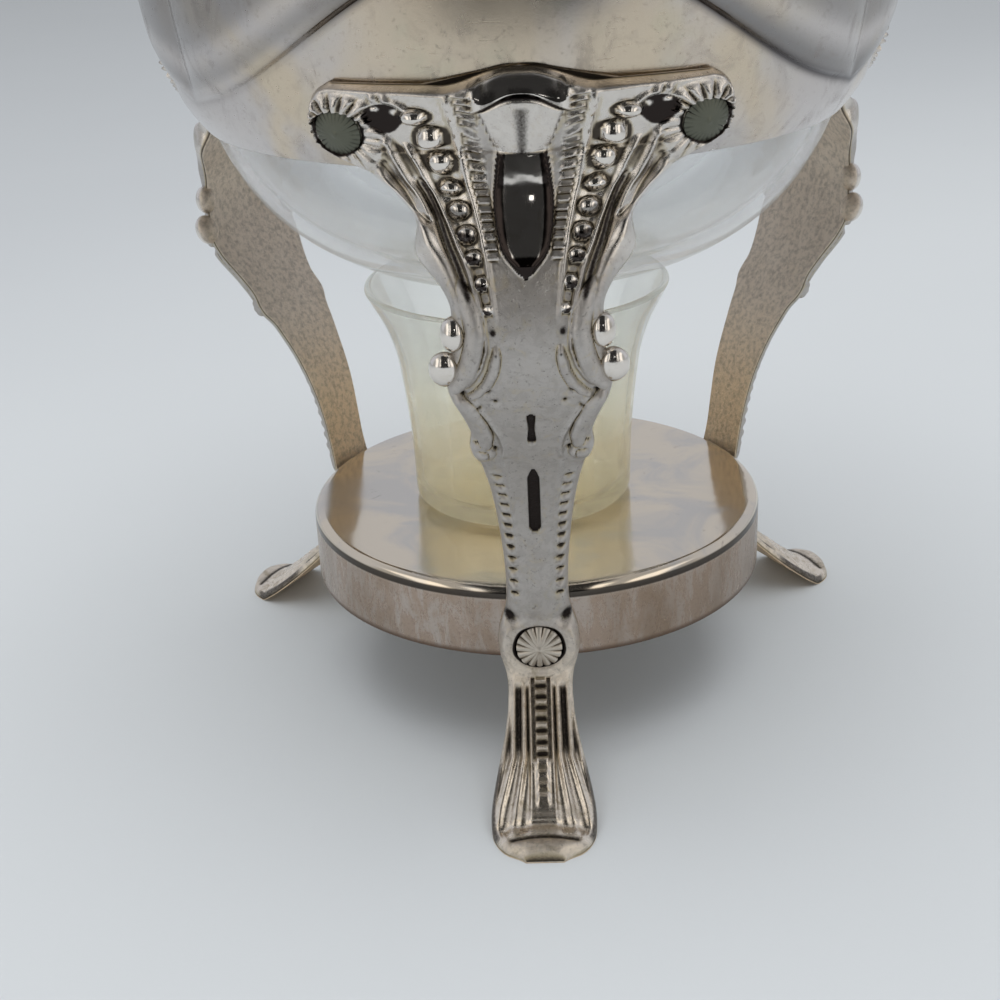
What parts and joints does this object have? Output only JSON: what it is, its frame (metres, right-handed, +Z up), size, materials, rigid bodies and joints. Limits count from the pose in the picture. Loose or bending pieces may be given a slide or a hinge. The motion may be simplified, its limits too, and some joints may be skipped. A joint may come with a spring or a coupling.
{
  "type": "coffee carafe on warming stand",
  "caption": "Glass carafe with plated neck mount, handle and hinged lid, in the collar of a legged warming stand over a candle cup on a round plate.",
  "frame": {"origin": "middle of the footprint of the whole object, on the plane that its feet stand on", "axes": "+Z up, +Y towards the handle, -Y towards the front leg and the pouring lip"},
  "size_m": [0.1597, 0.2026, 0.2807],
  "materials": {
    "plated_sheet": "silver plate, satin with tarnish and smudges",
    "plate_top": "polished silver plate, warm grey, mottled on its skirt",
    "leg_casting": "cast and silver plated, bright on the high places, dark in the recesses",
    "ear_rosette": "cast, dull and darkened",
    "plate_rosette": "cast, pale grey",
    "carafe_glass": "clear, smooth",
    "cup_glass": "clear with a pale yellow tint, smooth",
    "insulator": "dark, smooth"
  },
  "bodies": {
    "stand": {"base_plate": "plate_top", "collar": "plated_sheet", "collar_rim_wire": "plated_sheet", "leg_front": "leg_casting", "leg_back_right": "leg_casting", "leg_back_left": "leg_casting", "plate_rosette_front": "plate_rosette", "ear_rosette_front_left": "ear_rosette", "ear_rosette_front_right": "ear_rosette", "plate_rosette_back_right": "plate_rosette", "ear_rosette_back_right_left": "ear_rosette", "ear_rosette_back_right_right": "ear_rosette", "plate_rosette_back_left": "plate_rosette", "ear_rosette_back_left_left": "ear_rosette", "ear_rosette_back_left_right": "ear_rosette"},
    "votive_cup": {"votive_cup": "cup_glass"},
    "carafe": {"carafe_glass": "carafe_glass", "neck_mount": "plated_sheet", "hinge_bracket": "plated_sheet", "hinge_pin": "plated_sheet", "handle_socket_upper": "plated_sheet", "handle_socket_lower": "plated_sheet", "insulator_upper": "insulator", "insulator_lower": "insulator", "handle": "leg_casting"},
    "lid": {"lid": "plated_sheet", "finial": "leg_casting", "finial_nut": "leg_casting"}
  },
  "joints": [
    {"name": "cup_out", "type": "slide", "parent": "stand", "child": "votive_cup", "axis": [0, 1, 0], "range_m": [0, 0.11]},
    {"name": "carafe_lift", "type": "slide", "parent": "stand", "child": "carafe", "axis": [0, 0, 1], "range_m": [0, 0.12]},
    {"name": "lid_hinge", "type": "hinge", "parent": "carafe", "child": "lid", "pos_m": [0, 0.02705, 0.24877], "axis": [-1, 0, 0], "range_deg": [0, 100]}
  ]
}
